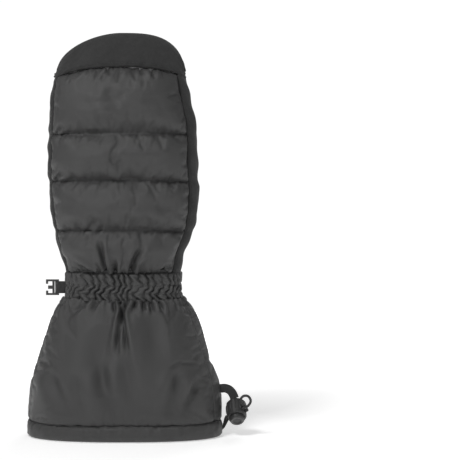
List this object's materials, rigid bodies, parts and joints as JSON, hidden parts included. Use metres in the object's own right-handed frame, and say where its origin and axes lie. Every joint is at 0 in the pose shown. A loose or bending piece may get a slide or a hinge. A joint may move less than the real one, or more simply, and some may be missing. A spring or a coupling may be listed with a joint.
{
  "type": "ski mitten",
  "caption": "Insulated left ski mitten with a quilted nylon back, softshell palm and thumb, gathered elastic wrist, flared gauntlet cuff with a drawcord lock, and a side clip.",
  "frame": {"origin": "centre of the bounding box at the height of the cuff rim, which the mitten stands on", "axes": "+Z from the cuff rim to the fingertips, -Y out of the back of the hand, +Y out of the palm, +X towards the thumb side"},
  "size_m": [0.193, 0.1153, 0.3446],
  "materials": {
    "nylon": "satin black-grey nylon taffeta, quilted",
    "softshell": "matte brushed softshell",
    "padding": "white polyester wadding",
    "membrane": "thin translucent waterproof film",
    "fleece": "brushed black fleece",
    "elastic": "knitted elastic",
    "webbing": "woven polyester webbing",
    "plastic": "moulded black acetal",
    "cord": "braided elastic cord",
    "steel": "bright spring wire",
    "label": "blank woven label"
  },
  "bodies": {
    "cuff": {"wrist_sleeve": "nylon", "wrist_elastic_lower": "elastic", "wrist_elastic_upper": "elastic", "wrist_lining": "fleece", "cuff_back_of_hand_panel": "nylon", "cuff_palm_side_panel": "nylon", "cuff_padding": "padding", "cuff_lining": "fleece", "hem_channel": "nylon", "hem_drawcord": "cord", "care_label": "label"},
    "hand": {"back_baffle_1": "nylon", "back_baffle_2": "nylon", "back_baffle_3": "nylon", "back_baffle_4": "nylon", "fingertip_cap": "softshell", "thumb_side_gusset": "softshell", "little_finger_side_gusset": "softshell", "palm_panel": "softshell", "back_padding": "padding", "palm_padding": "padding", "membrane_insert": "membrane", "hand_lining": "fleece", "thumb_base": "nylon", "thumb_base_lining": "fleece"},
    "thumb": {"thumb_outer_panel": "nylon", "thumb_inner_panel": "softshell", "thumb_padding": "padding", "thumb_lining": "fleece"},
    "clip_tab": {"clip_strap": "webbing", "clip": "plastic"},
    "toggle": {"anchor_tape": "webbing", "cord_lock_barrel": "plastic", "cord_lock_spring": "steel", "drawcord_tail": "cord"},
    "button": {"cord_lock_button": "plastic"}
  },
  "joints": [
    {"name": "wrist_flex", "type": "hinge", "parent": "cuff", "child": "hand", "pos_m": [-0.0114, -0.0143, 0.1295], "axis": [1, 0, 0], "range_deg": [-30, 30], "stiffness_Nm_per_rad": 0.9, "deforming": ["wrist_sleeve", "wrist_elastic_lower", "wrist_elastic_upper", "wrist_lining"]},
    {"name": "thumb_flex", "type": "hinge", "parent": "hand", "child": "thumb", "pos_m": [0.0241, 0.0177, 0.208], "axis": [-1, 0, 0], "range_deg": [0, 35], "stiffness_Nm_per_rad": 0.12, "deforming": ["thumb_base", "thumb_base_lining"]},
    {"name": "clip_swing", "type": "hinge", "parent": "cuff", "child": "clip_tab", "pos_m": [-0.0619, -0.0143, 0.1273], "axis": [0, 0, 1], "range_deg": [-65, 65]},
    {"name": "toggle_swing", "type": "hinge", "parent": "cuff", "child": "toggle", "pos_m": [0.0721, -0.0143, 0.02], "axis": [0, 0, 1], "range_deg": [-18, 40], "deforming": ["anchor_tape", "drawcord_tail"]},
    {"name": "button_press", "type": "slide", "parent": "toggle", "child": "button", "axis": [-0.0501, 0.7211, 0.691], "range_m": [0, 0.0028], "stiffness_N_per_m": 400, "springref_m": -0.002, "deforming": ["cord_lock_spring"]}
  ]
}
